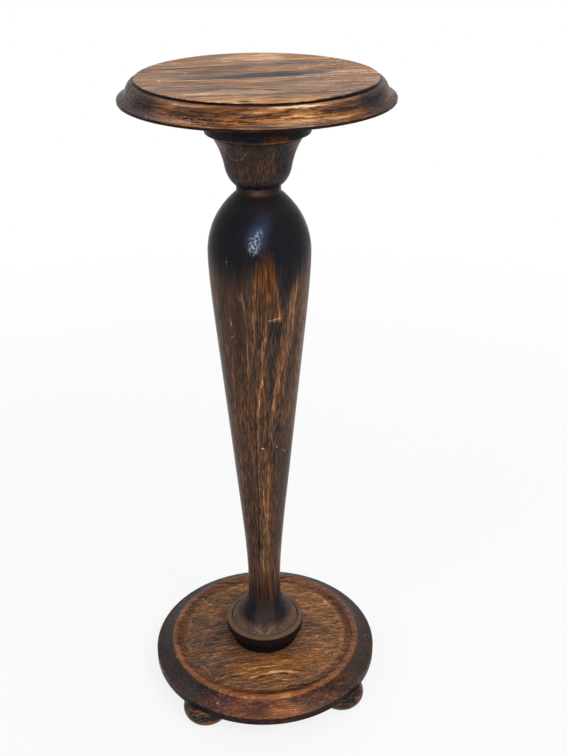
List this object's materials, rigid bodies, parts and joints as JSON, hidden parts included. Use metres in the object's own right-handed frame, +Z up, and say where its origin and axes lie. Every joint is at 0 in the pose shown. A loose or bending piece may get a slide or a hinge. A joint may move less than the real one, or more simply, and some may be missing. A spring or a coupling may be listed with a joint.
{
  "type": "pedestal column stand",
  "caption": "Turned wooden pedestal stand with a round moulded top, bell capital, tapering column with a flared foot, and a round moulded base on bun feet.",
  "frame": {"origin": "on the ground under the centre of the column, where the axis meets the plane of the foot soles", "axes": "+Z up along the column; +X along the grain of the base, to the right seen from the front; +Y towards the glued back strip of the base; the feet lie on the diagonals"},
  "size_m": [0.3386, 0.3386, 0.9144],
  "materials": {
    "top_wood": "glossy dark-stained maple, worn orange-brown on the flat field",
    "plate_wood": "glossy near-black stain",
    "bell_wood": "glossy brown-black stain",
    "column_wood": "glossy shaded stain, near-black at the shoulder, flamed orange-brown down the taper",
    "base_wood": "glossy stained, orange-brown field, darker moulding",
    "foot_wood": "satin dark brown stain",
    "dowel_wood": "bare birch",
    "plain_steel": "dull plain steel"
  },
  "bodies": {
    "root": {"top_board": "top_wood", "capital_plate_left": "plate_wood", "capital_plate_right": "plate_wood", "capital_bell": "bell_wood", "column_left": "column_wood", "column_right": "column_wood", "column_lag_screw": "plain_steel", "column_washer": "plain_steel", "base_board": "base_wood", "base_back_strip": "base_wood", "plate_screw_front_left": "plain_steel", "foot_front_left": "foot_wood", "foot_dowel_front_left": "dowel_wood", "plate_screw_front_right": "plain_steel", "foot_front_right": "foot_wood", "foot_dowel_front_right": "dowel_wood", "plate_screw_back_right": "plain_steel", "foot_back_right": "foot_wood", "foot_dowel_back_right": "dowel_wood", "plate_screw_back_left": "plain_steel", "foot_back_left": "foot_wood", "foot_dowel_back_left": "dowel_wood"}
  },
  "joints": []
}
